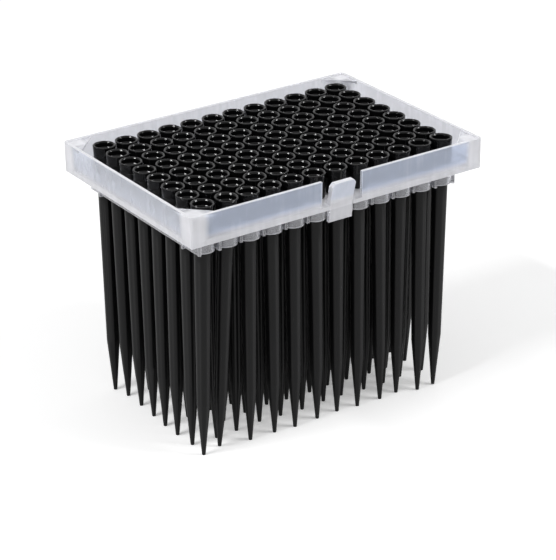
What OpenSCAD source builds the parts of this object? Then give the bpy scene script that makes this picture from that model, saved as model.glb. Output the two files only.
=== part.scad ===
// Rack tray of disposable pipette tips: a thin-walled tray whose deck carries a
// grid of collars, with one tip hanging by its shoulder in each collar.
// Millimetres. +Z is up, Z = 0 is the plane the tip ends stand on, X runs along
// the long side, and the latch tab is on the -Y side.

/* [Tip grid] */
// Tips along the long side
columns = 12; // [2:1:12]
// Tips along the short side
rows = 8; // [2:1:8]
// Distance between the axes of neighbouring tips
pitch = 9; // [8.8:0.05:9.4]

/* [Tip outside] */
// Length from mouth to end
tip_length = 95; // [70:1:110]
// Height of the head, from shoulder to mouth
head_h = 9; // [7.8:0.1:9.6]
// Gap between the mouths of neighbouring tips
mouth_gap = 0.9; // [0.8:0.05:1.4]
// Rounding of the lip
lip_r = 0.3; // [0.1:0.05:0.35]
// Step from the body out to the head at the shoulder
shoulder_step = 0.55; // [0.45:0.05:0.8]
// Diameter of the body just below the shoulder
body_d = 6; // [5.4:0.05:6]
// Diameter where the body gives way to the steeper point
point_d = 4.7; // [3.6:0.1:5]
// Height of the point
point_h = 20; // [10:1:30]
// Diameter of the flat end
end_d = 1.3; // [1:0.05:2]

/* [Tip inside] */
// Wall of the wide mouth above the inner ledge
lip_wall = 0.6; // [0.45:0.05:0.8]
// Depth of the inner ledge below the mouth
ledge_depth = 2.8; // [1.5:0.1:3.5]
// Width of the ledge, from the mouth's wall in to the sealing bore
ledge_w = 0.55; // [0.45:0.05:0.8]
// Rounding between the mouth's wall and the ledge
ledge_r = 0.3; // [0.1:0.05:0.4]
// Depth of the sealing bore's lower end below the mouth
seal_depth = 7.2; // [5:0.1:7.4]
// Wall of the body
tip_wall = 0.55; // [0.4:0.05:0.7]
// Diameter of the opening at the end
orifice_d = 0.6; // [0.3:0.05:0.8]

/* [Seat of the tips] */
// Height of a plumb tip's shoulder above the deck
seat_gap = 0.05; // [0.02:0.01:0.3]
// Clearance between a tip's body and its hole
hole_play = 0.25; // [0.2:0.05:0.3]
// Slow sway of the tips from column to column, as a share of that play
sway = 0.18; // [0:0.01:0.2]
// Scatter of single tips about the sway, as a share of that play
scatter = 0.1; // [0:0.01:0.12]

/* [Tray walls] */
// Clearance between the end walls and the mouths of the outer tips
end_clearance = 5.5; // [4.4:0.1:9]
// Clearance between the long walls and the mouths of the outer tips
side_clearance = 5; // [4.4:0.1:9]
// How far each wall leans outwards from its lower edge to the rim
wall_draft = 0.35; // [0.1:0.05:0.6]
// Height of the walls
wall_h = 11.1; // [10.8:0.1:14]
// Thickness of the walls
wall_t = 1.1; // [0.8:0.05:1.4]
// Radius of the outer corners
corner_r = 1.5; // [1.45:0.05:3]
// Leg of the triangular plates that tie the corners of the rim
gusset_leg = 10.7; // [5:0.1:11.4]
// Thickness of those plates
gusset_t = 1; // [0.6:0.1:1.4]
// Step from the rim down to those plates
gusset_step = 0.3; // [0.1:0.1:0.6]

/* [Deck and collars] */
// Thickness of the deck
deck_t = 1.4; // [1.2:0.1:2.6]
// Wall of the collars
collar_wall = 0.8; // [0.6:0.05:1]
// Drop of the collars below the deck
collar_drop = 6.2; // [3:0.1:8]

/* [Ribs below the deck] */
// Thickness of the ribs between the collars
rib_t = 1; // [0.8:0.05:1.4]
// Reach of the cross ribs past the axes of the outer rows
rib_reach = 2.9; // [1:0.1:4]
// Extra reach of the lugs that the first and last cross ribs carry
lug_reach = 0.9; // [0.5:0.1:3.5]
// Extra drop of those lugs and of the corner feet
lug_drop = 0.2; // [0.1:0.1:1]
// Thickness of the end skirts
skirt_t = 1; // [0.8:0.05:1.4]
// Reach of the outer long ribs past the end skirts
stub_reach = 1.3; // [0.5:0.1:3]
// Reach of the end skirts past the axes of the outer rows
skirt_reach = 3.5; // [1:0.1:4]
// Reach of the corner feet past the corner collars
foot_reach = 1.3; // [0.8:0.1:3]

/* [Latch] */
// Width of the latch tab
tab_w = 9.5; // [7:0.5:11]
// Gap between the tab and each side of the notch in the front wall
notch_gap = 3.5; // [1:0.1:5]
// Thickness of the latch tab at its top
tab_t = 2.2; // [1.4:0.1:2.6]
// Thickness of the latch tab at its foot
tab_foot_t = 1.4; // [1:0.1:2]
// Drop of the tab below the walls
tab_drop = 4.9; // [2:0.1:7]
// Step from the rim down to the tab's top
tab_step = 1.3; // [0.5:0.1:3]
// Height above the wall's lower edge at which the tab bends outwards
tab_bend_h = 2.9; // [2.6:0.1:5]
// How far the tab's top stands proud of the wall's lower edge
tab_proud = 1.8; // [0.8:0.1:3]
// How far the tab's foot stands back from that edge
tab_foot_back = 0.9; // [0:0.1:1.2]
// Width of the chamfers on the tab's top corners
tab_chamfer_w = 1; // [0.5:0.1:2.5]
// Height of those chamfers
tab_chamfer_h = 1.2; // [0.5:0.1:2.5]
// Height of the two webs behind the tab
web_h = 4.5; // [2:0.1:6]
// Depth of those webs along the deck
web_d = 2.2; // [1:0.1:2.6]
// Thickness of those webs
web_t = 0.9; // [0.6:0.1:1.4]

/* [Hidden] */
$fn = 48;

TRAY_COLOR = [0.86, 0.88, 0.92];
TIP_COLOR = [0.09, 0.09, 0.1];

// Segments in each small rounding of a turned outline
ROUND_STEPS = 3;
// Cuts run this far past the faces they open
CUT = 1;
// A block that only rounds corners stands this far outside the faces between
SLACK = 0.02;

// Degrees by which the sway advances a column in X and a column or row in Y,
// and where it starts
SWAY_STEP = [20, 15];
SWAY_START = [-11, -30];
// Degrees by which the scatter advances per column and per row, in X and in Y
SCATTER_STEP = [[137, 61], [101, 83]];
// Tips that hang further off: column, row and their extra share in X and in Y
LOOSE_TIPS = [
    [0, 0, [-0.17, -0.25]],
    [0, 7, [-0.19, 0.25]],
    [1, 7, [-0.37, 0.57]],
    [10, 7, [-0.29, -0.5]],
    [11, 7, [-0.65, -0.32]]
];

// Tips, and the holes and collars that they hang in
mouth_d = pitch - mouth_gap;
mouth_bore_d = mouth_d - 2 * lip_wall;
seal_bore_d = mouth_bore_d - 2 * ledge_w;
head_base_d = body_d + 2 * shoulder_step;
hole_d = body_d + 2 * hole_play;
collar_d = hole_d + 2 * collar_wall;

// Heights, from the tip ends upwards
shaft_h = tip_length - head_h;
deck_top = shaft_h - seat_gap;
deck_bottom = deck_top - deck_t;
rim_z = deck_bottom + wall_h;
collar_bottom = deck_bottom - collar_drop;
lug_bottom = collar_bottom - lug_drop;
// A tip swings about the middle of its hole, until its body touches both ends
hole_h = deck_top - collar_bottom;
pivot_z = collar_bottom + hole_h / 2;
most_swing = asin(hole_play / (hole_h / 2));

// Half spans between the axes of the outer tips
span_x = (columns - 1) * pitch / 2;
span_y = (rows - 1) * pitch / 2;
// Outer size of the tray at its rim
tray_length = 2 * (span_x + mouth_d / 2 + end_clearance + wall_t);
tray_width = 2 * (span_y + mouth_d / 2 + side_clearance + wall_t);
// Outer faces of the end skirts, flush with the collars
skirt_x = span_x + collar_d / 2;
notch_w = tab_w + 2 * notch_gap;
// Depth to which the deck's edge is cleared in front of the tab, half way through the tab
tab_relief = (tab_t + tab_foot_t) / 4;
// Puts the middle of the whole object on the origin, latch tab included
centre_y = (tab_proud - wall_draft) / 2;

// Where a column of tips stands, counted from 0 at the -X end, and a row,
// counted from 0 at the +Y side
function column_x(i) = i * pitch - span_x;
function row_y(j) = span_y - j * pitch;

// How far the tip in column i and row j swings, as shares of the most it can:
// the first moves its end along X and the second along Y
function swing(i, j) =
    let (loose = [for (tip = LOOSE_TIPS) if (tip[0] == i && tip[1] == j) tip[2]])
    [
        sway * sin(SWAY_STEP.x * i + SWAY_START.x) + scatter * sin(SCATTER_STEP.x * [i, j]),
        sway * sin(SWAY_STEP.y * (i + j) + SWAY_START.y) + scatter * sin(SCATTER_STEP.y * [i, j])
    ]
    + (len(loose) > 0 ? loose[0] : [0, 0]);

// Points along an arc of a turned or extruded outline
function arc(centre, r, from, to) = [
    for (k = [0 : ROUND_STEPS])
        let (a = from + (to - from) * k / ROUND_STEPS)
            centre + r * [cos(a), sin(a)]
];

// Half section of a tip: X is the radius and Y the height above the shoulder
function tip_section() =
    let (
        mouth_r = mouth_d / 2,
        bore_r = mouth_bore_d / 2,
        seal_r = seal_bore_d / 2,
        ledge_z = head_h - ledge_depth,
        seal_end_z = head_h - seal_depth,
        inner_r = body_d / 2 - tip_wall
    )
    concat(
        [[end_d / 2, -shaft_h], [point_d / 2, point_h - shaft_h], [body_d / 2, 0], [head_base_d / 2, 0]],
        arc([mouth_r - lip_r, head_h - lip_r], lip_r, 0, 90),
        arc([bore_r + lip_r / 2, head_h - lip_r / 2], lip_r / 2, 90, 180),
        arc([bore_r - ledge_r, ledge_z + ledge_r], ledge_r, 0, -90),
        [
            [seal_r, ledge_z],
            [seal_r, seal_end_z],
            [inner_r, seal_end_z - (seal_r - inner_r)],
            [point_d / 2 - tip_wall, point_h - shaft_h],
            [orifice_d / 2, -shaft_h]
        ]
    );

module tip() {
    rotate_extrude() polygon(tip_section());
}

// One column of tips, counted from 1 at the -X end
module tip_column(number) {
    color(TIP_COLOR)
        for (j = [0 : rows - 1]) {
            turn = most_swing * swing(number - 1, j);
            // Lifts a leaning tip until the low side of its shoulder clears the deck
            lift = head_base_d / 2 * sin(norm(turn));
            translate([column_x(number - 1), centre_y + row_y(j), pivot_z])
                rotate([turn.y, -turn.x, 0])
                    translate([0, 0, shaft_h - pivot_z + lift])
                        tip();
        }
}

module rounded_rectangle(length, width, r) {
    square([length - 2 * r, width], center = true);
    square([length, width - 2 * r], center = true);
    for (x = [-1, 1], y = [-1, 1])
        translate([x * (length / 2 - r), y * (width / 2 - r)])
            circle(r);
}

// Upright section between two opposite walls, drawn from their lower edge up
module wall_section(size) {
    low = size / 2 - wall_draft;
    high = size / 2 + wall_draft * CUT / wall_h;
    polygon([[-low, 0], [low, 0], [high, wall_h + CUT], [-high, wall_h + CUT]]);
}

// Block with the walls' lean on its sides, inset from their outer faces
module drafted_block(inset, bottom, top) {
    length = tray_length - 2 * inset;
    width = tray_width - 2 * inset;
    intersection() {
        translate([0, 0, bottom])
            linear_extrude(top - bottom)
                rounded_rectangle(length + 2 * SLACK, width + 2 * SLACK, corner_r - inset);
        front_extrude(width) wall_section(length);
        side_extrude(2 * length) wall_section(width);
    }
}

// Deck and walls, open at the top
module shell() {
    translate([0, 0, deck_bottom])
        difference() {
            drafted_block(0, 0, wall_h);
            drafted_block(wall_t, deck_t, wall_h + CUT);
            translate([-notch_w / 2, -tray_width / 2 - CUT, deck_t])
                cube([notch_w, wall_t + wall_draft + 2 * CUT, wall_h]);
            translate([-tab_w / 2, -tray_width / 2 - CUT, -CUT])
                cube([tab_w, wall_draft + tab_relief + CUT, deck_t + 2 * CUT]);
        }
}

// Flat triangles across the corners, just below the rim
module gussets() {
    bottom = rim_z - gusset_step - gusset_t;
    for (x = [0, 1], y = [0, 1])
        mirror([x, 0, 0])
            mirror([0, y, 0])
                translate([(tray_length - wall_t) / 2, (tray_width - wall_t) / 2, bottom])
                    linear_extrude(gusset_t)
                        polygon([[0, 0], [-gusset_leg, 0], [0, -gusset_leg]]);
}

// A block that hangs from the deck, from one corner of its plan to the other
module below_deck(low, high, bottom) {
    translate([low.x, low.y, bottom])
        cube([high.x - low.x, high.y - low.y, deck_bottom + deck_t / 2 - bottom]);
}

module collars() {
    for (i = [0 : columns - 1], j = [0 : rows - 1])
        translate([column_x(i), row_y(j), collar_bottom])
            cylinder(d = collar_d, h = collar_drop + deck_t / 2);
}

// Ribs midway between the rows and columns, and the lugs on the outer ones
module ribs() {
    for (i = [0 : columns - 2]) {
        x = column_x(i) + pitch / 2;
        y = span_y + rib_reach;
        below_deck([x - rib_t / 2, -y], [x + rib_t / 2, y], collar_bottom);
        if (i == 0 || i == columns - 2)
            for (side = [0, 1])
                mirror([0, side, 0])
                    below_deck([x - rib_t / 2, y - rib_t], [x + rib_t / 2, y + lug_reach], lug_bottom);
    }
    for (j = [0 : rows - 2]) {
        y = row_y(j) - pitch / 2;
        x = j == 0 || j == rows - 2 ? skirt_x + stub_reach : skirt_x - skirt_t / 2;
        below_deck([-x, y - rib_t / 2], [x, y + rib_t / 2], collar_bottom);
    }
}

// Walls that close the ends of the collar grid
module end_skirts() {
    y = span_y + skirt_reach;
    for (side = [0, 1])
        mirror([side, 0, 0])
            below_deck([skirt_x - skirt_t, -y], [skirt_x, y], collar_bottom);
}

// Fins that point outwards from the corner collars
module corner_feet() {
    reach = collar_d / 2 + foot_reach;
    for (x = [0, 1], y = [0, 1])
        mirror([x, 0, 0])
            mirror([0, y, 0])
                translate([span_x, span_y, 0])
                    rotate(45)
                        below_deck([hole_d / 2, -rib_t / 2], [reach, rib_t / 2], lug_bottom);
}

// Spring tab in the notch, seen from its side: Y outline with +Y into the tray
module tab_side() {
    top = wall_h - tab_step;
    polygon([
        [tab_foot_back, -tab_drop],
        [0, tab_bend_h],
        [-tab_proud, top],
        [tab_t - tab_proud, top],
        [(tab_t + tab_foot_t) / 2, tab_bend_h],
        [tab_foot_back + tab_foot_t, -tab_drop]
    ]);
}

// Front outline of the tab, drawn in X and Z
module tab_front() {
    top = wall_h - tab_step;
    polygon([
        [-tab_w / 2, -tab_drop],
        [tab_w / 2, -tab_drop],
        [tab_w / 2, top - tab_chamfer_h],
        [tab_w / 2 - tab_chamfer_w, top],
        [tab_chamfer_w - tab_w / 2, top],
        [-tab_w / 2, top - tab_chamfer_h]
    ]);
}

module side_extrude(width) {
    rotate([90, 0, 90])
        translate([0, 0, -width / 2])
            linear_extrude(width)
                children();
}

module front_extrude(depth) {
    rotate([90, 0, 0])
        translate([0, 0, -depth])
            linear_extrude(2 * depth)
                children();
}

module latch_tab() {
    translate([0, wall_draft - tray_width / 2, deck_bottom]) {
        intersection() {
            side_extrude(tab_w + 2 * CUT) tab_side();
            front_extrude(tab_proud + tab_t + CUT) tab_front();
        }
        for (side = [-1, 1])
            translate([side * (tab_w / 2 - web_t), tab_foot_t / 2, deck_t])
                side_extrude(web_t)
                    polygon([[0, 0], [tab_foot_t / 2 + web_d, 0], [0, web_h]]);
    }
}

module tray() {
    color(TRAY_COLOR)
        translate([0, centre_y, 0])
            difference() {
                union() {
                    shell();
                    gussets();
                    collars();
                    ribs();
                    end_skirts();
                    corner_feet();
                    latch_tab();
                }
                for (i = [0 : columns - 1], j = [0 : rows - 1])
                    translate([column_x(i), row_y(j), lug_bottom - CUT])
                        cylinder(d = hole_d, h = deck_top - lug_bottom + 2 * CUT);
            }
}

tray();
for (i = [1 : columns]) tip_column(i);
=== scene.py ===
"""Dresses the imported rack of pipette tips: frosted tray, black tips, floor, lamps and camera."""

import bmesh
import bpy
from bpy.props import FloatProperty, FloatVectorProperty, PointerProperty
from bpy.types import Operator, Panel, PropertyGroup
from mathutils import Matrix, Vector


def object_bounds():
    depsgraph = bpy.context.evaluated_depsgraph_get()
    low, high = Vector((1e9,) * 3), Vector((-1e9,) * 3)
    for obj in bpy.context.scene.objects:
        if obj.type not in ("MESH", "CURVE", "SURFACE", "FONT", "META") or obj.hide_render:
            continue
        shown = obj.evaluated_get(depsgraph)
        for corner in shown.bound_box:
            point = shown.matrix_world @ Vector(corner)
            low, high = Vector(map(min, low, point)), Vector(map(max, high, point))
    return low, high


bl_info = {
    "name": "Pipette Tip Rack",
    "version": (1, 0, 0),
    "blender": (4, 5, 0),
    "location": "View3D > Sidebar > Tip Rack",
    "description": "Builds the looks of a tray of pipette tips around its packed model",
    "category": "Object",
}

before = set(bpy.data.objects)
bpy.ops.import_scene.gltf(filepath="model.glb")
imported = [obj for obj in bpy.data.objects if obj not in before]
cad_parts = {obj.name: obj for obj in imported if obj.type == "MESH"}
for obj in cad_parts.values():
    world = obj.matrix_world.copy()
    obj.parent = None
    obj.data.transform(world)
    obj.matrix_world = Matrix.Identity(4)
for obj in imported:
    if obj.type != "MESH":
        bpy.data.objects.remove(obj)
CAD_LOW, CAD_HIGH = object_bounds()

TRAY_NODE = "tray"
COLUMN_NODES = sorted(
    (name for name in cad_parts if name.startswith("tip_column_")),
    key=lambda name: int(name.rsplit("_", 1)[1]),
)

# Lengths are in metres, and the scales of patterns are in turns per metre

# Edges of the tray: how much a rounding has to turn the normal for the full painted highlight
EDGE_TURN = 0.12
EDGE_SAMPLES = 6

# Where the whiter parts and the painted light of the tray fade out
DECK_FADE_ABOVE = 0.0014
DECK_FADE_BELOW = 0.0004
DECK_FADE_INSIDE = 0.0001
TAB_SIDE_FADE = 0.0003
TAB_BACK_FADE = 0.0005
CORNER_REACH = 0.0015
CORNER_FULL = 0.0006
RIM_REACH = 0.0014
RIM_FULL = 0.0012
DECK_FACE_REACH = 0.001
DECK_FACE_FULL = 0.0005
TIP_EDGE_FADE = 0.0015

# Upward part of a face's normal where the painted light on the rim starts and is full
UPWARD_START = 0.5
UPWARD_FULL = 0.95

# Distance from the tray's middle, along a face's normal, that makes it an outer face
OUTER_START = 0.02
OUTER_FULL = 0.03

# Heights above the deck between which the painted bluish shade of the tips behind comes in
TIP_SHADE_START = 0.001
TIP_SHADE_FULL = 0.003

# Depth below the deck over which the plastic turns as clear as the collars
COLLAR_FADE = 0.0005

# Middle of a noise pattern
NOISE_MIDDLE = 0.5

# Clouds, flow lines and fine grain of the tray
TRAY_IOR = 1.49
CLOUD_SCALE = 90.0
CLOUD_DETAIL = 3.0
FLOW_STRETCH = (420.0, 420.0, 25.0)
GRAIN_SCALE = 2500.0
GRAIN_HAZE = 0.05
GRAIN_STRENGTH = 0.05
GRAIN_DEPTH = 0.00005

# Mouths of the tips. A face whose distance from the tip's axis, along its normal, is below
# INNER_WALL looks inward
INNER_WALL = -0.0005
BEVEL_FADE = 0.00005
STEP_HEIGHT = 0.0005
STEP_FADE = 0.0001

# Skin of the tips
TIP_IOR = 1.5
TIP_GRAIN_SCALE = 900.0
TIP_GRAIN_HAZE = 0.08
QUARTER_TURN = 0.25
POLISH_END = 0.0028
BODY_START = 0.0038

# Stage
FLOOR_HALF = 6.0
FLOOR_ROUGHNESS = 0.9
FLOOR_GLOW = 0.3
LAMP_DISTANCE = 1.2
SENSOR_WIDTH = 36
NEAREST_SEEN = 0.01
FARTHEST_SEEN = 50


# ---------------------------------------------------------------- settings


class TipSettings(PropertyGroup):
    """Finish of the tips."""

    colour: FloatVectorProperty(
        name="Colour", description="Black conductive plastic", default=(0.003, 0.003, 0.0033),
        size=3, subtype="COLOR", min=0, max=1)
    mouth_roughness: FloatProperty(
        name="Mouth roughness", description="Roughness of the mouths", default=0.1,
        subtype="FACTOR", min=0, max=1)
    body_roughness: FloatProperty(
        name="Body roughness", description="Roughness of the moulded skin below the mouths", default=0.4,
        subtype="FACTOR", min=0, max=1)
    gloss: FloatProperty(
        name="Gloss", description="Strength of the reflections", default=0.22,
        subtype="FACTOR", min=0, max=1)
    pitch: FloatProperty(
        name="Pitch", description="Distance between the tips", default=0.009, unit="LENGTH")
    grid_middle: FloatProperty(
        name="Grid middle", description="Where the middle of the grid is along Y", default=0.000725,
        unit="LENGTH")
    mouth_level: FloatProperty(
        name="Mouth level", description="Height of the mouths", default=0.09505, unit="LENGTH")
    bevel_height: FloatProperty(
        name="Bevel height", description="Height of the bevel inside a mouth", default=0.0006, unit="LENGTH")
    bevel_slope: FloatProperty(
        name="Bevel slope", description="How far the bevel faces up", default=0.85, min=0, max=4)
    step_depth: FloatProperty(
        name="Step depth", description="Depth of the step inside a mouth", default=0.0022, unit="LENGTH")
    line_stretch: FloatProperty(
        name="Line stretch", description="How far reflections stretch along the tip", default=1.0,
        subtype="FACTOR", min=0, max=1)


class TraySettings(PropertyGroup):
    """Finish of the tray."""

    colour: FloatVectorProperty(
        name="Colour", description="Frosted plastic", default=(0.85, 0.855, 0.9),
        size=3, subtype="COLOR", min=0, max=1)
    # Painted shade: the bluish, darker colour painted where dark tips stand behind the walls
    painted_tip_shade_colour: FloatVectorProperty(
        name="Outer colour", description="The outer skin, bluish over the dark tips",
        default=(0.75, 0.83, 1.0), size=3, subtype="COLOR", min=0, max=1)
    # Colour of thick plastic, also used for the painted highlights and painted light
    thick_and_painted_light_colour: FloatVectorProperty(
        name="Edge colour", description="Frosted plastic where it is thick or has an edge",
        default=(0.95, 0.95, 0.98), size=3, subtype="COLOR", min=0, max=1)
    clearness: FloatProperty(
        name="Clearness", description="Share of the light that passes through", default=0.71,
        subtype="FACTOR", min=0, max=1)
    collar_clearness: FloatProperty(
        name="Collar clearness", description="Clearness of the thin collars below the deck", default=0.82,
        subtype="FACTOR", min=0, max=1)
    haze: FloatProperty(
        name="Haze", description="Roughness of the frosted faces", default=0.08,
        subtype="FACTOR", min=0, max=1)
    # Painted highlights on the edges and corners: how far they reach and how strong they are
    edge_width: FloatProperty(
        name="Edge width", description="How far the whiter edges reach", default=0.0005, unit="LENGTH")
    painted_edge_highlight: FloatProperty(
        name="Edge whiteness", description="How much whiter an edge is", default=0.5,
        subtype="FACTOR", min=0, max=1)
    deck_level: FloatProperty(
        name="Deck level", description="Height of the deck's upper face", default=0.08595, unit="LENGTH")
    deck_thickness: FloatProperty(
        name="Deck thickness", description="Thickness of the deck", default=0.0014, unit="LENGTH")
    # Whiter deck level: partly the thick plastic, partly painted light from the lit deck
    deck_white_and_painted_light: FloatProperty(
        name="Deck whiteness", description="How much whiter the thick deck is", default=0.42,
        subtype="FACTOR", min=0, max=1)
    cloudiness: FloatProperty(
        name="Cloudiness", description="How uneven the milky plastic is", default=0.3, min=0, max=1)
    # Painted light on the rim and the deck's upper face
    rim_painted_light: FloatProperty(
        name="Rim whiteness", description="How much whiter the rim and the deck's upper face are",
        default=0.5, subtype="FACTOR", min=0, max=1)
    # Painted light where no tip stands behind a wall
    bare_wall_painted_light: FloatProperty(
        name="Corner whiteness", description="How much whiter the walls are where no tip is behind them",
        default=0.45, subtype="FACTOR", min=0, max=1)
    # Share of the painted tip shade on the end walls
    end_painted_shade_share: FloatProperty(
        name="End share", description="How much of the bluish skin the end walls have", default=0.4,
        subtype="FACTOR", min=0, max=1)
    tray_length: FloatProperty(
        name="Length", description="Length of the tray", default=0.1203, unit="LENGTH")
    tray_width: FloatProperty(
        name="Width", description="Width of the tray", default=0.0833, unit="LENGTH")
    tip_gap: FloatProperty(
        name="Tip gap", description="From the outer faces of the walls to the mouths of the tips",
        default=0.0064, unit="LENGTH")
    grid_middle: FloatProperty(
        name="Tray middle", description="Where the middle of the tray is along Y", default=0.000725,
        unit="LENGTH")
    tab_width: FloatProperty(
        name="Tab width", description="Width of the latch tab", default=0.0095, unit="LENGTH")
    tab_line: FloatProperty(
        name="Tab line", description="How far along Y the latch tab's plastic reaches back",
        default=-0.0385, unit="LENGTH")
    tab_whiteness: FloatProperty(
        name="Tab whiteness", description="How much whiter the thick tab is", default=0.35,
        subtype="FACTOR", min=0, max=1)


class StageSettings(PropertyGroup):
    """Camera, lamps and floor."""

    camera_place: FloatVectorProperty(
        name="Camera", description="Where the camera stands", default=(-0.3987, -0.592, 0.3784),
        size=3, subtype="TRANSLATION", unit="LENGTH")
    camera_forward: FloatVectorProperty(
        name="Direction", description="Where the camera looks", default=(0.5062, 0.7496, -0.4266),
        size=3, subtype="DIRECTION")
    camera_up: FloatVectorProperty(
        name="Up", description="The camera's up direction", default=(0.249, 0.3466, 0.9044),
        size=3, subtype="DIRECTION")
    lens: FloatProperty(
        name="Lens", description="Focal length in millimetres", default=141.4)
    sky: FloatProperty(
        name="Sky", description="Light of the surroundings", default=0.43, min=0, max=1)
    key: FloatProperty(
        name="Key", description="Power of the lamp on the left", default=8.0, min=0, unit="POWER")
    side: FloatProperty(
        name="Side", description="Power of the lamp on the right", default=5.9, min=0, unit="POWER")
    key_way: FloatVectorProperty(
        name="Key direction", description="Where the left lamp stands", default=(-0.643, 0.01, 0.766),
        size=3, subtype="DIRECTION")
    side_way: FloatVectorProperty(
        name="Side direction", description="Where the right lamp stands", default=(0.534, -0.498, 0.68),
        size=3, subtype="DIRECTION")
    lamp_size: FloatVectorProperty(
        name="Lamp size", description="Width and height of the lamps", default=(0.45, 0.08),
        size=2, min=0, unit="LENGTH")
    floor_colour: FloatVectorProperty(
        name="Floor colour", description="White studio floor", default=(0.85, 0.85, 0.85),
        size=3, subtype="COLOR", min=0, max=1)


# ---------------------------------------------------------------- nodes


class NodeKit:
    """Adds nodes to one node tree and links them. A value is a number, a vector or a node's output."""

    def __init__(self, tree):
        self.nodes = tree.nodes
        self.links = tree.links

    def add(self, kind, **settings):
        """A new node with some of its settings."""
        node = self.nodes.new(kind)
        for name, value in settings.items():
            setattr(node, name, value)
        return node

    def feed(self, socket, value):
        """Gives a socket its value."""
        if isinstance(value, bpy.types.NodeSocket):
            self.links.new(value, socket)
        else:
            socket.default_value = value

    def maths(self, operation, first, *others):
        """Values joined one after the other by the same maths step."""
        result = first
        for value in others:
            step = self.add("ShaderNodeMath", operation=operation)
            self.feed(step.inputs[0], result)
            self.feed(step.inputs[1], value)
            result = step.outputs[0]
        return result

    def vectors(self, operation, first, *others):
        """A vector maths step."""
        step = self.add("ShaderNodeVectorMath", operation=operation)
        for socket, value in zip(step.inputs, (first, *others)):
            self.feed(socket, value)
        return step.outputs["Value" if operation == "DOT_PRODUCT" else "Vector"]

    def combine(self, x=0.0, y=0.0, z=0.0):
        """A vector from its three parts."""
        whole = self.add("ShaderNodeCombineXYZ")
        for socket, value in zip(whole.inputs, (x, y, z)):
            self.feed(socket, value)
        return whole.outputs["Vector"]

    def split(self, vector):
        """The three parts of a vector."""
        parts = self.add("ShaderNodeSeparateXYZ")
        self.feed(parts.inputs["Vector"], vector)
        return tuple(parts.outputs)

    def ramp(self, value, start=0.0, end=1.0, low=0.0, high=1.0, kind="LINEAR"):
        """low where the value is at start and high where it is at end."""
        step = self.add("ShaderNodeMapRange", interpolation_type=kind)
        self.feed(step.inputs["Value"], value)
        self.feed(step.inputs["From Min"], start)
        self.feed(step.inputs["From Max"], end)
        self.feed(step.inputs["To Min"], low)
        self.feed(step.inputs["To Max"], high)
        return step.outputs["Result"]

    def mask(self, value, start, end):
        """0 where the value is at start and 1 where it is at end, with soft ends."""
        return self.ramp(value, start, end, kind="SMOOTHSTEP")

    def mix_colours(self, factor, first, second):
        """The first colour where the factor is 0 and the second where it is 1."""
        step = self.add("ShaderNodeMix", data_type="RGBA")
        self.feed(step.inputs["Factor"], factor)
        self.feed(step.inputs["A"], first)
        self.feed(step.inputs["B"], second)
        return step.outputs["Result"]

    def place(self):
        """The piece's own coordinates."""
        return self.add("ShaderNodeTexCoord").outputs["Object"]

    def face(self):
        """The face's normal."""
        return self.add("ShaderNodeNewGeometry").outputs["Normal"]

    def noise(self, scale, detail=2.0, stretch=(1.0, 1.0, 1.0)):
        """Noise on the piece's own coordinates."""
        noise = self.add("ShaderNodeTexNoise")
        self.feed(noise.inputs["Vector"], self.vectors("MULTIPLY", self.place(), stretch))
        self.feed(noise.inputs["Scale"], scale)
        self.feed(noise.inputs["Detail"], detail)
        return noise.outputs["Fac"]

    def seen(self):
        """1 for the rays that show a surface: straight, in a reflection or through a clear part."""
        rays = self.add("ShaderNodeLightPath").outputs
        return self.maths(
            "MAXIMUM", rays["Is Camera Ray"], rays["Is Transmission Ray"], rays["Is Glossy Ray"])


def new_material(name):
    """A material, its node kit and its shader."""
    material = bpy.data.materials.new(name)
    material.use_nodes = True
    tree = material.node_tree
    return material, NodeKit(tree), tree.nodes["Principled BSDF"]


# ---------------------------------------------------------------- tray


class TrayPlace:
    """Where a point of the tray is, for the masks."""

    def __init__(self, kit, settings):
        self.kit = kit
        self.across, self.along, self.height = kit.split(kit.place())
        self.from_middle = kit.maths("SUBTRACT", self.along, settings.grid_middle)
        self.away_x = kit.maths("ABSOLUTE", self.across, 0.0)
        self.away_y = kit.maths("ABSOLUTE", self.from_middle, 0.0)
        self.half_x = settings.tray_length / 2
        self.half_y = settings.tray_width / 2
        self.top = settings.deck_level
        self.bottom = settings.deck_level - settings.deck_thickness

    def near_sides(self, start, end):
        """Masks for X and Y, 0 at start and 1 at end, both distances from the outer faces."""
        return (
            self.kit.mask(self.away_x, self.half_x - start, self.half_x - end),
            self.kit.mask(self.away_y, self.half_y - start, self.half_y - end))


# Each of these is 0 away from its place, and there as high as its setting for whiteness


def tray_edge_highlights(kit, settings):
    """Painted highlights on the edges, found from how far a rounding there would turn the face."""
    rounded = kit.add("ShaderNodeBevel", samples=EDGE_SAMPLES)
    kit.feed(rounded.inputs["Radius"], settings.edge_width)
    turn = kit.vectors("DOT_PRODUCT", rounded.outputs["Normal"], kit.face())
    return kit.maths("MULTIPLY", kit.ramp(turn, 1.0, 1.0 - EDGE_TURN), settings.painted_edge_highlight)


def tray_deck(kit, spot, settings):
    """The level of the deck, which backs the walls: whiter for the thick plastic, and painted light from the
    lit deck seen through the walls.
    """
    above = kit.mask(spot.height, spot.top + DECK_FADE_ABOVE, spot.top)
    below = kit.mask(spot.height, spot.bottom - DECK_FADE_BELOW, spot.bottom + DECK_FADE_INSIDE)
    return kit.maths("MULTIPLY", above, below, settings.deck_white_and_painted_light)


def tray_tab(kit, spot, settings):
    """The thick latch tab."""
    half = settings.tab_width / 2
    sides = kit.mask(spot.away_x, half + TAB_SIDE_FADE, half)
    back = kit.mask(spot.along, settings.tab_line + TAB_BACK_FADE, settings.tab_line)
    return kit.maths("MULTIPLY", sides, back, settings.tab_whiteness)


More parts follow.
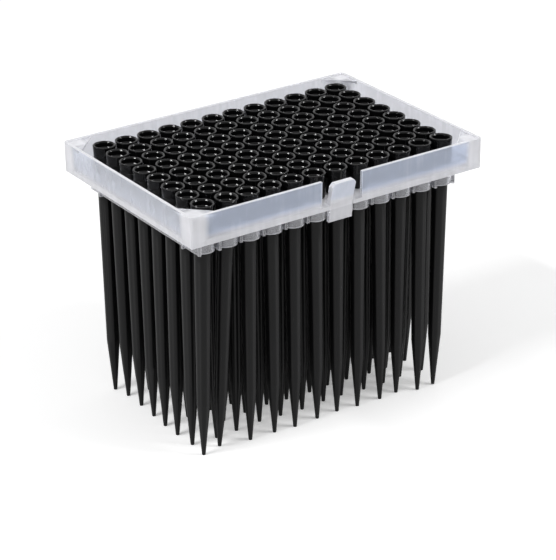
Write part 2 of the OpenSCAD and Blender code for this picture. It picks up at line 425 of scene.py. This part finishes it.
def tray_corner_highlights(kit, spot, settings):
    """Painted highlights on the upright corners, where two walls meet."""
    end, front = spot.near_sides(CORNER_REACH, CORNER_FULL)
    return kit.maths("MULTIPLY", end, front, settings.painted_edge_highlight)


def tray_painted_top_light(kit, spot, face, settings):
    """Painted light on faces that look up, on the rim and from the deck's upper face down."""
    upward = kit.mask(kit.split(face)[2], UPWARD_START, UPWARD_FULL)
    rim_x, rim_y = spot.near_sides(RIM_REACH, RIM_FULL)
    deck = kit.mask(spot.height, spot.top + DECK_FACE_REACH, spot.top + DECK_FACE_FULL)
    border = kit.maths("MAXIMUM", rim_x, rim_y, deck)
    return kit.maths("MULTIPLY", upward, border, settings.rim_painted_light)


def tray_clouds(kit, settings):
    """Uneven milkiness around 0, with the flow lines of the moulding that run up the walls."""
    clouds = kit.noise(CLOUD_SCALE, CLOUD_DETAIL)
    flow = kit.noise(1.0, CLOUD_DETAIL, stretch=FLOW_STRETCH)
    both = kit.maths("ADD", clouds, flow)
    uneven = kit.maths("SUBTRACT", both, 2 * NOISE_MIDDLE)
    return kit.maths("MULTIPLY", uneven, settings.cloudiness)


def tray_painted_tip_shade(kit, spot, face, over_tips, settings):
    """Painted shade: the outer faces above the deck, as far as the dark tips stand behind them."""
    outward = kit.vectors("DOT_PRODUCT", kit.combine(spot.across, spot.from_middle), face)
    outer = kit.mask(outward, OUTER_START, OUTER_FULL)
    above = kit.mask(spot.height, spot.top + TIP_SHADE_START, spot.top + TIP_SHADE_FULL)
    long_walls, end_walls = over_tips
    walls = kit.maths("MAXIMUM", long_walls, kit.maths("MULTIPLY", end_walls, settings.end_painted_shade_share))
    return kit.maths("MULTIPLY", outer, above, walls)


def frost(kit, shader, settings):
    """Fine grain in the roughness and the relief."""
    grain = kit.noise(GRAIN_SCALE)
    roughness = kit.ramp(grain, low=settings.haze - GRAIN_HAZE, high=settings.haze + GRAIN_HAZE)
    kit.feed(shader.inputs["Roughness"], roughness)
    bump = kit.add("ShaderNodeBump")
    kit.feed(bump.inputs["Strength"], GRAIN_STRENGTH)
    kit.feed(bump.inputs["Distance"], GRAIN_DEPTH)
    kit.feed(bump.inputs["Height"], grain)
    kit.feed(shader.inputs["Normal"], bump.outputs["Normal"])


def frosted_plastic(settings):
    """Milky plastic that light passes through, whiter where it is thick, with painted highlights on its
    edges and corners, painted light on its rim, deck and bare walls, and painted bluish shade over the dark
    tips.
    """
    material, kit, shader = new_material("frosted_plastic")
    kit.feed(shader.inputs["IOR"], TRAY_IOR)
    spot = TrayPlace(kit, settings)
    face = kit.face()

    # Beyond the outer mouths no tip stands behind a wall; there the light passing through is painted in as
    # whiteness
    over_tips = spot.near_sides(settings.tip_gap - TIP_EDGE_FADE, settings.tip_gap + TIP_EDGE_FADE)
    bare = kit.maths("SUBTRACT", 1.0, kit.maths("MAXIMUM", *over_tips))
    # Whiteness from thick plastic, painted highlights on edges and corners, and painted light
    white = kit.maths(
        "MAXIMUM",
        tray_edge_highlights(kit, settings),
        tray_deck(kit, spot, settings),
        tray_tab(kit, spot, settings),
        tray_corner_highlights(kit, spot, settings),
        tray_painted_top_light(kit, spot, face, settings),
        kit.maths("MULTIPLY", bare, settings.bare_wall_painted_light))
    clamp = kit.add("ShaderNodeClamp")
    kit.feed(clamp.inputs["Value"], kit.maths("ADD", white, tray_clouds(kit, settings)))
    white = clamp.outputs["Result"]

    # Painted shade: from outside, the walls are painted bluish and darker where dark tips stand behind them
    skin = kit.mix_colours(
        tray_painted_tip_shade(kit, spot, face, over_tips, settings),
        (*settings.colour, 1), (*settings.painted_tip_shade_colour, 1))
    kit.feed(shader.inputs["Base Color"], kit.mix_colours(white, skin, (*settings.thick_and_painted_light_colour, 1)))

    # The collars below the deck are thinner, so more light passes through them
    below = kit.mask(spot.height, spot.bottom, spot.bottom - COLLAR_FADE)
    below = kit.maths("MULTIPLY", below, settings.collar_clearness - settings.clearness)
    clearness = kit.maths("ADD", below, settings.clearness)
    kit.feed(shader.inputs["Transmission Weight"], kit.ramp(white, low=clearness, high=0.0))
    frost(kit, shader, settings)
    return material


# ---------------------------------------------------------------- tips


def mouth_details(kit, height, settings):
    """1 at the heights of a mouth's lead-in bevel and of its step, and 0 elsewhere."""
    low = settings.mouth_level - settings.bevel_height
    bevel = kit.mask(height, low - BEVEL_FADE, low + BEVEL_FADE)
    top = settings.mouth_level - settings.step_depth
    bottom = top - STEP_HEIGHT
    step = kit.maths(
        "MULTIPLY",
        kit.mask(height, top + STEP_FADE, top),
        kit.mask(height, bottom, bottom + STEP_FADE))
    return kit.maths("MAXIMUM", bevel, step)


def bevelled_mouth(kit, settings):
    """The face's normal, turned up where a mouth's inner wall has its lead-in bevel and its step."""
    across, along, height = kit.split(kit.place())
    face = kit.face()
    # Each tip stands in the middle of its own square of the grid
    from_axis = []
    for value, middle in ((across, 0.0), (along, settings.grid_middle)):
        square = kit.maths("FLOORED_MODULO", kit.maths("SUBTRACT", value, middle), settings.pitch)
        from_axis.append(kit.maths("SUBTRACT", square, settings.pitch / 2))
    outward = kit.vectors("DOT_PRODUCT", kit.combine(*from_axis), face)
    inner = kit.maths("LESS_THAN", outward, INNER_WALL)
    turned = kit.maths("MULTIPLY", mouth_details(kit, height, settings), inner, settings.bevel_slope)
    return kit.vectors("NORMALIZE", kit.vectors("ADD", face, kit.combine(z=turned)))


def black_plastic(settings):
    """Carbon-filled plastic: nearly black, with polished mouths and a satin moulded skin."""
    material, kit, shader = new_material("black_plastic")
    kit.feed(shader.inputs["Base Color"], (*settings.colour, 1))
    kit.feed(shader.inputs["IOR"], TIP_IOR)
    kit.feed(shader.inputs["Specular IOR Level"], settings.gloss)
    kit.feed(shader.inputs["Anisotropic"], settings.line_stretch)
    kit.feed(shader.inputs["Anisotropic Rotation"], QUARTER_TURN)
    kit.feed(shader.inputs["Normal"], bevelled_mouth(kit, settings))

    height = kit.split(kit.place())[2]
    body = kit.mask(height, settings.mouth_level - POLISH_END, settings.mouth_level - BODY_START)
    body = kit.maths("MULTIPLY", body, settings.body_roughness - settings.mouth_roughness)
    grain = kit.maths("SUBTRACT", kit.noise(TIP_GRAIN_SCALE), NOISE_MIDDLE)
    grain = kit.maths("MULTIPLY", grain, TIP_GRAIN_HAZE)
    kit.feed(shader.inputs["Roughness"], kit.maths("ADD", body, grain, settings.mouth_roughness))
    return material


def dress(node, material):
    """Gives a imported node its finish."""
    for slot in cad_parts[node].material_slots:
        slot.material = material


class TIPRACK_OT_tips(Operator):
    """Gives the columns of tips their satin black finish"""

    bl_idname = "tiprack.tips"
    bl_label = "Tips"

    def execute(self, context):
        material = black_plastic(context.scene.tiprack_tip)
        for node in COLUMN_NODES:
            dress(node, material)
        return {"FINISHED"}


class TIPRACK_OT_tray(Operator):
    """Gives the tray its frosted finish"""

    bl_idname = "tiprack.tray"
    bl_label = "Tray"

    def execute(self, context):
        dress(TRAY_NODE, frosted_plastic(context.scene.tiprack_tray))
        return {"FINISHED"}


# ---------------------------------------------------------------- stage


def floor_white(stage):
    """Matt white that shows as white, and still takes the object's shadow."""
    material, kit, shader = new_material("floor_white")
    kit.feed(shader.inputs["Base Color"], (*stage.floor_colour, 1))
    kit.feed(shader.inputs["Roughness"], FLOOR_ROUGHNESS)
    kit.feed(shader.inputs["Specular IOR Level"], 0.0)
    glow = kit.add("ShaderNodeEmission")
    kit.feed(glow.inputs["Strength"], kit.maths("MULTIPLY", kit.seen(), FLOOR_GLOW))
    both = kit.add("ShaderNodeAddShader")
    kit.feed(both.inputs[0], shader.outputs[0])
    kit.feed(both.inputs[1], glow.outputs[0])
    kit.feed(kit.nodes["Material Output"].inputs["Surface"], both.outputs[0])
    return material


def add_floor(stage):
    """A wide floor under the object."""
    bm = bmesh.new()
    bmesh.ops.create_grid(bm, x_segments=1, y_segments=1, size=FLOOR_HALF)
    mesh = bpy.data.meshes.new("floor")
    bm.to_mesh(mesh)
    bm.free()
    floor = bpy.data.objects.new("floor", mesh)
    bpy.context.scene.collection.objects.link(floor)
    mesh.materials.append(floor_white(stage))


def add_area_lamp(name, direction, size, power):
    """A soft lamp, wide and low, that looks at the middle of the object."""
    middle = (CAD_LOW + CAD_HIGH) / 2
    data = bpy.data.lights.new(name, "AREA")
    data.shape = "RECTANGLE"
    data.size, data.size_y = size
    data.energy = power
    lamp = bpy.data.objects.new(name, data)
    lamp.location = middle + Vector(direction).normalized() * LAMP_DISTANCE
    lamp.rotation_mode = "QUATERNION"
    lamp.rotation_quaternion = (-Vector(direction)).to_track_quat("-Z", "Y")
    bpy.context.scene.collection.objects.link(lamp)


def add_camera(stage):
    """The scene's camera, turned by its forward and up directions."""
    data = bpy.data.cameras.new("camera")
    data.lens = stage.lens
    data.sensor_width = SENSOR_WIDTH
    data.clip_start = NEAREST_SEEN
    data.clip_end = FARTHEST_SEEN
    camera = bpy.data.objects.new("camera", data)
    forward = Vector(stage.camera_forward).normalized()
    right = forward.cross(Vector(stage.camera_up)).normalized()
    up = right.cross(forward)
    turn = Matrix((right, up, -forward)).transposed().to_4x4()
    camera.matrix_world = Matrix.Translation(Vector(stage.camera_place)) @ turn
    bpy.context.scene.collection.objects.link(camera)
    bpy.context.scene.camera = camera


def set_world(stage):
    """Surroundings that show as white, and are dimmer as a light."""
    world = bpy.data.worlds.new("studio")
    bpy.context.scene.world = world
    world.use_nodes = True
    kit = NodeKit(world.node_tree)
    background = kit.nodes["Background"]
    kit.feed(background.inputs["Color"], (1, 1, 1, 1))
    kit.feed(background.inputs["Strength"], kit.ramp(kit.seen(), low=stage.sky, high=1.0))


class TIPRACK_OT_stage(Operator):
    """Builds the floor, the lamps, the world and the camera"""

    bl_idname = "tiprack.stage"
    bl_label = "Stage"

    def execute(self, context):
        stage = context.scene.tiprack_stage
        add_camera(stage)
        add_floor(stage)
        add_area_lamp("key_lamp", stage.key_way, stage.lamp_size, stage.key)
        add_area_lamp("side_lamp", stage.side_way, stage.lamp_size, stage.side)
        set_world(stage)
        context.scene.view_settings.view_transform = "Standard"
        return {"FINISHED"}


class TIPRACK_PT_panel(Panel):
    """Lists the pieces of the rack"""

    bl_idname = "TIPRACK_PT_panel"
    bl_label = "Pipette Tip Rack"
    bl_space_type = "VIEW_3D"
    bl_region_type = "UI"
    bl_category = "Tip Rack"

    def draw(self, context):
        for operator in OPERATORS:
            self.layout.operator(operator.bl_idname)


SETTINGS = {"tiprack_tip": TipSettings, "tiprack_tray": TraySettings, "tiprack_stage": StageSettings}
OPERATORS = (TIPRACK_OT_tray, TIPRACK_OT_tips, TIPRACK_OT_stage)
CLASSES = (*SETTINGS.values(), *OPERATORS, TIPRACK_PT_panel)


def register():
    for cls in CLASSES:
        bpy.utils.register_class(cls)
    for name, cls in SETTINGS.items():
        setattr(bpy.types.Scene, name, PointerProperty(type=cls))


def unregister():
    for name in SETTINGS:
        delattr(bpy.types.Scene, name)
    for cls in reversed(CLASSES):
        bpy.utils.unregister_class(cls)


def main():
    register()
    bpy.ops.tiprack.tray()
    bpy.ops.tiprack.tips()
    bpy.ops.tiprack.stage()


if __name__ == "__main__":
    main()
